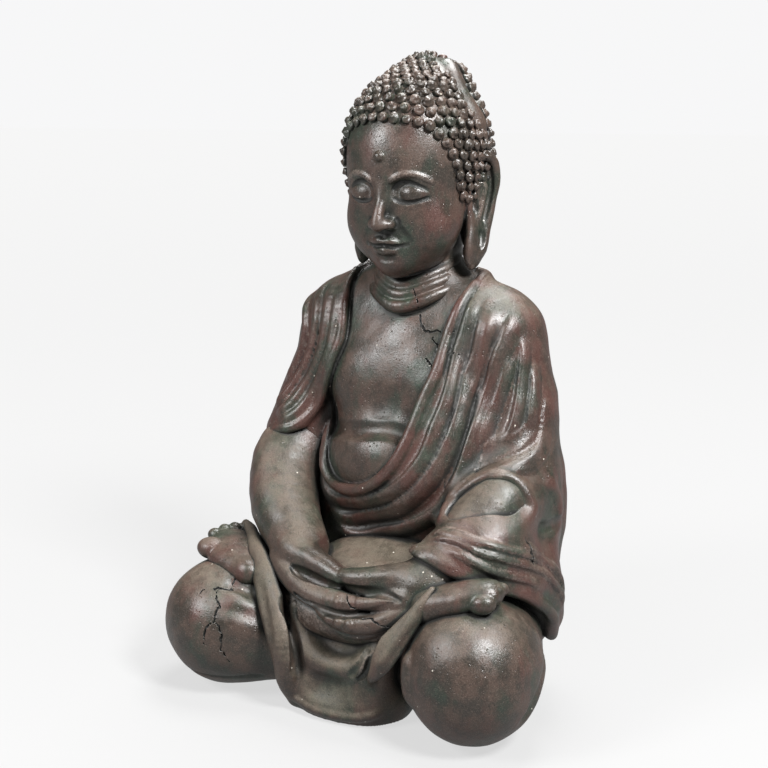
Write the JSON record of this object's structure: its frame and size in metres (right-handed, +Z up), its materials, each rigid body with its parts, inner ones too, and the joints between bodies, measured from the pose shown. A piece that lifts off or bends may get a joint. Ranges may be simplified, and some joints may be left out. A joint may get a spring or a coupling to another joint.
{
  "type": "buddha figurine",
  "caption": "Seated meditating Buddha garden figure, hands joined in the lap, robe over the left shoulder, cast in one piece and standing on its flat underside.",
  "frame": {"origin": "on the underside plane, below the axis of the trunk, midway between the seat's two halves", "axes": "+Z up along the trunk, -Y the way the figure faces, +X towards the figure's own left"},
  "size_m": [0.4489, 0.3253, 0.6998],
  "materials": {
    "patinated_cast": "cast stone mix with an aged bronze-look coat: satin dark brown, green-black in the hollows, dusty on upward faces"
  },
  "bodies": {
    "root": {"buddha_figure": "patinated_cast"}
  },
  "joints": []
}
